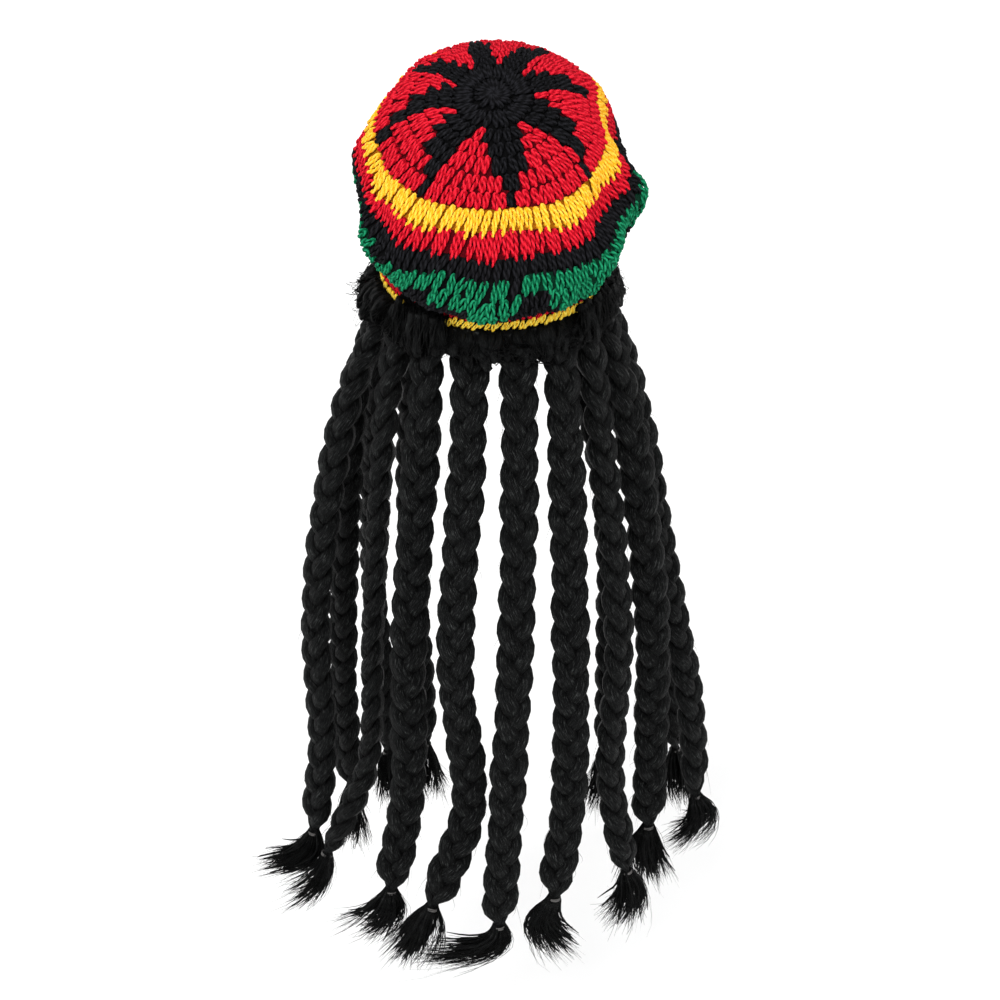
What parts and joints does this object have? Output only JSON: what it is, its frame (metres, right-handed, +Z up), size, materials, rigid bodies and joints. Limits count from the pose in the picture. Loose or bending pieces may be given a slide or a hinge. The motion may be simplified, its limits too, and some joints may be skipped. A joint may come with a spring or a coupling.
{
  "type": "crocheted tam hat",
  "caption": "Slouchy crocheted tam in its worn shape, with a ruffled rim, a narrow head band and long plaits of synthetic hair hanging from inside the band.",
  "frame": {"origin": "centre of the head opening, in the plane of the band's lower rim, where the hat sits on a head", "axes": "+Z up as worn, +Y the way the wearer faces, +X to the wearer's right"},
  "size_m": [0.3693, 0.2595, 0.6889],
  "materials": {
    "crown_crochet": "thick acrylic crochet in rounds of black, red, yellow and green, matt",
    "band_crochet": "acrylic crochet in narrow red, yellow and black rows, matt",
    "hair": "black synthetic hair, soft satin fibres",
    "elastic": "thin smoky elastic"
  },
  "bodies": {
    "root": {"crown": "crown_crochet", "headband": "band_crochet", "hair_weft": "hair", "braid_01": "hair", "braid_02": "hair", "braid_03": "hair", "braid_04": "hair", "braid_05": "hair", "braid_06": "hair", "braid_07": "hair", "braid_08": "hair", "braid_09": "hair", "braid_10": "hair", "braid_11": "hair", "braid_12": "hair", "braid_13": "hair", "braid_14": "hair", "tie_01": "elastic", "tie_02": "elastic", "tie_03": "elastic", "tie_04": "elastic", "tie_05": "elastic", "tie_06": "elastic", "tie_07": "elastic", "tie_08": "elastic", "tie_09": "elastic", "tie_10": "elastic", "tie_11": "elastic", "tie_12": "elastic", "tie_13": "elastic", "tie_14": "elastic"}
  },
  "joints": []
}
